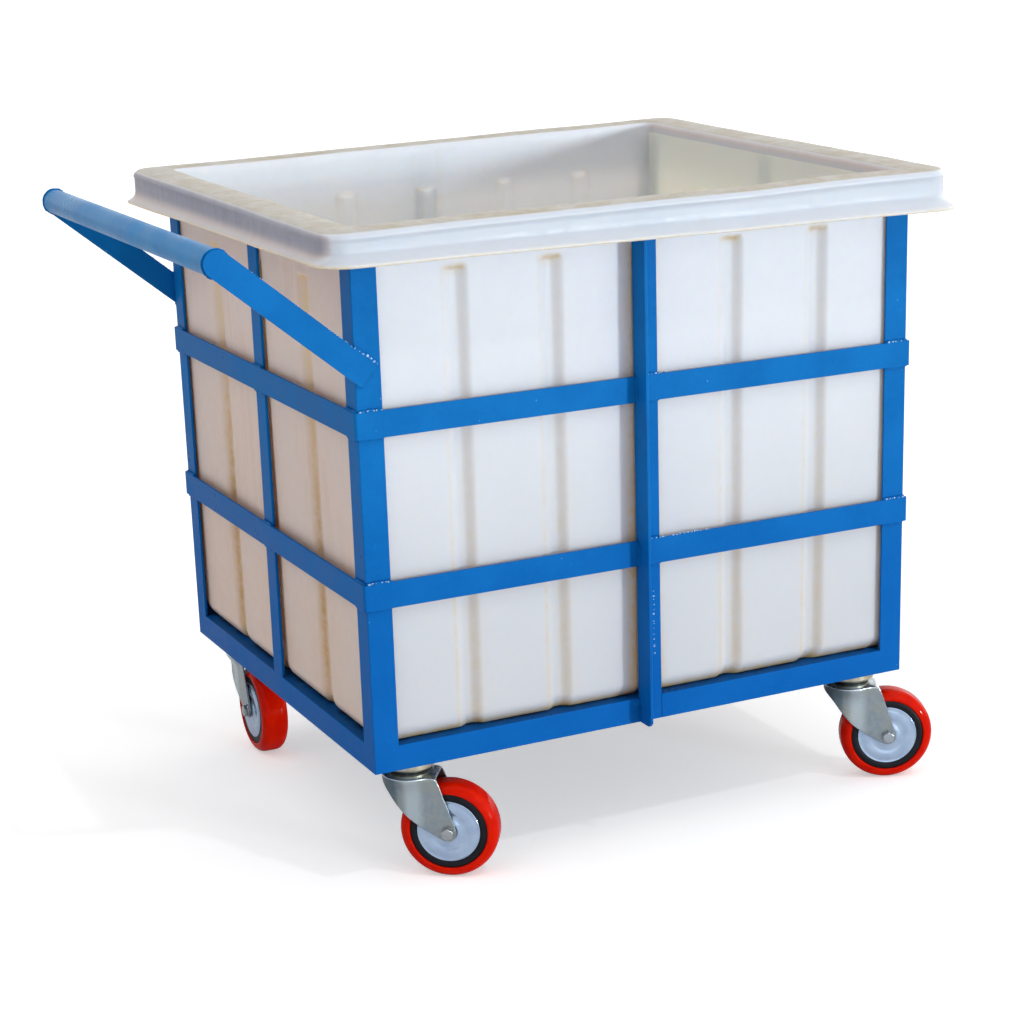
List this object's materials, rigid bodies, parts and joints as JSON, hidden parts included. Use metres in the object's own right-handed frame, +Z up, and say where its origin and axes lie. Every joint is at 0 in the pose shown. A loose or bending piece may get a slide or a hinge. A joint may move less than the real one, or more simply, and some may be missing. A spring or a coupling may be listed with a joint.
{
  "type": "washing trolley",
  "caption": "Washing trolley: white moulded tub with a rolled rim, hung in a blue angle-iron frame on swivel casters, with a push handle across one end.",
  "frame": {"origin": "on the floor, under the middle of the whole trolley's box, push handle included", "axes": "+X along the trolley, away from the push handle; +Y across it; +Z up"},
  "size_m": [1.241, 0.944, 1.0285],
  "materials": {
    "blue_enamel": "gloss, chipped",
    "white_plastic": "satin, stained",
    "zinc": "bright zinc plate",
    "yellow_zinc": "yellow zinc plate",
    "red_rubber": "gloss",
    "black_plastic": "satin",
    "grey_plastic": "satin"
  },
  "bodies": {
    "frame": {"corner_post_front_left": "blue_enamel", "corner_post_front_right": "blue_enamel", "corner_post_back_left": "blue_enamel", "corner_post_back_right": "blue_enamel", "mid_post_front": "blue_enamel", "mid_post_back": "blue_enamel", "mid_post_left": "blue_enamel", "mid_post_right": "blue_enamel", "sill_front": "blue_enamel", "sill_back": "blue_enamel", "sill_left": "blue_enamel", "sill_right": "blue_enamel", "lower_rail_front": "blue_enamel", "lower_rail_back": "blue_enamel", "lower_rail_left": "blue_enamel", "lower_rail_right": "blue_enamel", "upper_rail_front": "blue_enamel", "upper_rail_back": "blue_enamel", "upper_rail_left": "blue_enamel", "upper_rail_right": "blue_enamel", "cross_bar_left": "blue_enamel", "cross_bar_right": "blue_enamel", "handle_arm_front": "blue_enamel", "handle_arm_back": "blue_enamel", "handle_tube": "blue_enamel", "caster_pads": "blue_enamel", "tub": "white_plastic", "plate_fasteners": "zinc", "plate_front_left": "zinc", "race_front_left": "yellow_zinc", "kingpin_front_left": "zinc", "plate_front_right": "zinc", "race_front_right": "yellow_zinc", "kingpin_front_right": "zinc", "plate_back_left": "zinc", "race_back_left": "yellow_zinc", "kingpin_back_left": "zinc", "plate_back_right": "zinc", "race_back_right": "yellow_zinc", "kingpin_back_right": "zinc"},
    "swivel_front_left": {"fork_front_left": "zinc", "axle_front_left": "zinc"},
    "wheel_front_left": {"core_front_left": "black_plastic", "tyre_front_left": "red_rubber", "covers_front_left": "grey_plastic"},
    "swivel_front_right": {"fork_front_right": "zinc", "axle_front_right": "zinc"},
    "wheel_front_right": {"core_front_right": "black_plastic", "tyre_front_right": "red_rubber", "covers_front_right": "grey_plastic"},
    "swivel_back_left": {"fork_back_left": "zinc", "axle_back_left": "zinc"},
    "wheel_back_left": {"core_back_left": "black_plastic", "tyre_back_left": "red_rubber", "covers_back_left": "grey_plastic"},
    "swivel_back_right": {"fork_back_right": "zinc", "axle_back_right": "zinc"},
    "wheel_back_right": {"core_back_right": "black_plastic", "tyre_back_right": "red_rubber", "covers_back_right": "grey_plastic"}
  },
  "joints": [
    {"name": "caster_turn_front_left", "type": "hinge", "parent": "frame", "child": "swivel_front_left", "pos_m": [-0.32149, -0.348, 0.1772], "axis": [0, 0, 1], "continuous": true},
    {"name": "wheel_roll_front_left", "type": "hinge", "parent": "swivel_front_left", "child": "wheel_front_left", "pos_m": [-0.27033, -0.38303, 0.0775], "axis": [0.565, 0.8251, 0], "continuous": true},
    {"name": "caster_turn_front_right", "type": "hinge", "parent": "frame", "child": "swivel_front_right", "pos_m": [0.48851, -0.348, 0.1772], "axis": [0, 0, 1], "continuous": true},
    {"name": "wheel_roll_front_right", "type": "hinge", "parent": "swivel_front_right", "child": "wheel_front_right", "pos_m": [0.54493, -0.37371, 0.0775], "axis": [0.4147, 0.91, 0], "continuous": true},
    {"name": "caster_turn_back_left", "type": "hinge", "parent": "frame", "child": "swivel_back_left", "pos_m": [-0.33249, 0.348, 0.1772], "axis": [0, 0, 1], "continuous": true},
    {"name": "wheel_roll_back_left", "type": "hinge", "parent": "swivel_back_left", "child": "wheel_back_left", "pos_m": [-0.33422, 0.28602, 0.0775], "axis": [0.9996, -0.0279, 0], "continuous": true},
    {"name": "caster_turn_back_right", "type": "hinge", "parent": "frame", "child": "swivel_back_right", "pos_m": [0.48851, 0.348, 0.1772], "axis": [0, 0, 1], "continuous": true},
    {"name": "wheel_roll_back_right", "type": "hinge", "parent": "swivel_back_right", "child": "wheel_back_right", "pos_m": [0.53, 0.30192, 0.0775], "axis": [0.7431, 0.6691, 0], "continuous": true}
  ]
}
